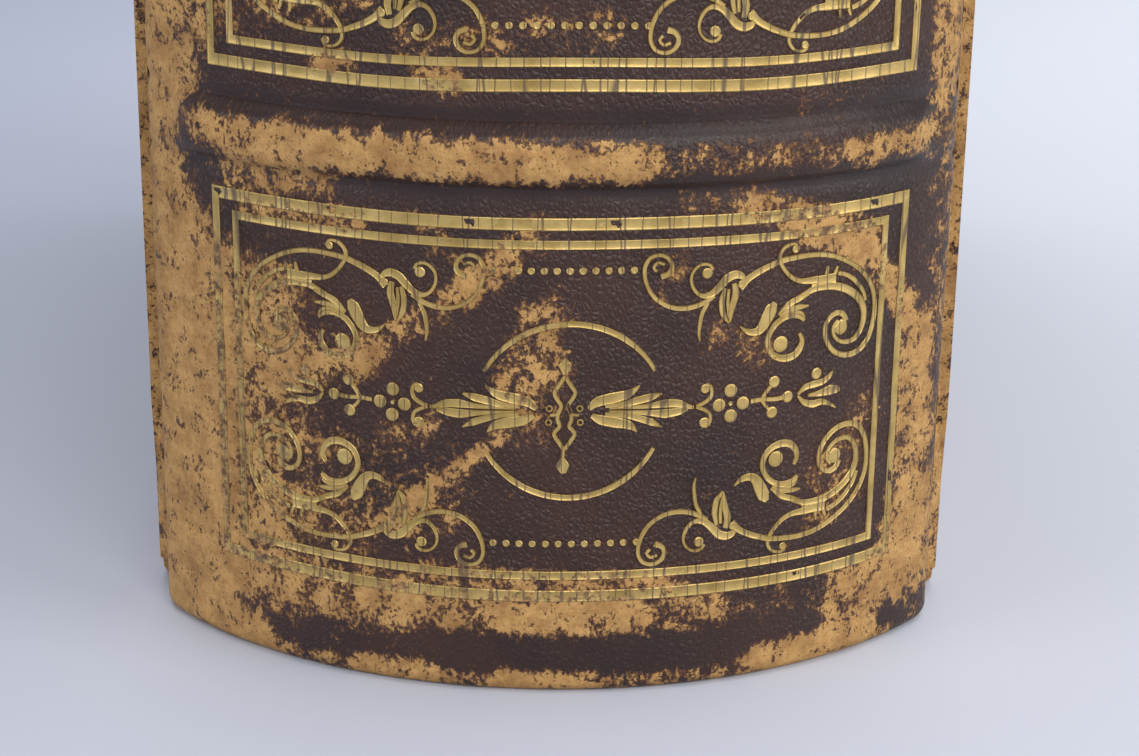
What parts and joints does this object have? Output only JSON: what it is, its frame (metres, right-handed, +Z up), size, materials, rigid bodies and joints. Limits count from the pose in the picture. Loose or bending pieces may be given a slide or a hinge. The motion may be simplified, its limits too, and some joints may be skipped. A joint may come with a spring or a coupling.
{
  "type": "antique leather book",
  "caption": "Antique book in a worn full leather binding with a rounded, gilt-tooled spine, raised bands and two covers that open on their joints.",
  "frame": {"origin": "on the ground at the centre of the closed book's footprint, with the book standing on its tail", "axes": "+Z up from tail to head, spine towards -Y, fore edge towards +Y, front cover on +X"},
  "size_m": [0.065, 0.156, 0.235],
  "materials": {
    "morocco": "dark brown pebbled morocco, worn to tan",
    "leaves": "aged paper edges",
    "endpaper": "aged endpaper",
    "millboard": "raw millboard",
    "lining_paper": "glued paper lining",
    "hemp_cord": "hemp cord",
    "silk": "faded silk thread"
  },
  "bodies": {
    "book": {"text_block": "leaves", "spine_leather": "morocco", "headband": "silk", "tailband": "silk", "sewing_cord_1": "hemp_cord", "sewing_cord_2": "hemp_cord", "sewing_cord_3": "hemp_cord", "sewing_cord_4": "hemp_cord", "sewing_cord_5": "hemp_cord", "spine_lining_1": "lining_paper", "spine_lining_2": "lining_paper", "spine_lining_3": "lining_paper", "spine_lining_4": "lining_paper", "spine_lining_5": "lining_paper", "spine_lining_6": "lining_paper", "front_flyleaf": "endpaper", "back_flyleaf": "endpaper"},
    "front_cover": {"front_board": "millboard", "front_cover_leather": "morocco", "front_pastedown": "endpaper"},
    "back_cover": {"back_board": "millboard", "back_cover_leather": "morocco", "back_pastedown": "endpaper"}
  },
  "joints": [
    {"name": "front_cover_hinge", "type": "hinge", "parent": "book", "child": "front_cover", "pos_m": [0.032, -0.05666, 0], "axis": [0, 0, 1], "range_deg": [-170, 0]},
    {"name": "back_cover_hinge", "type": "hinge", "parent": "book", "child": "back_cover", "pos_m": [-0.032, -0.05666, 0], "axis": [0, 0, 1], "range_deg": [0, 170]}
  ]
}
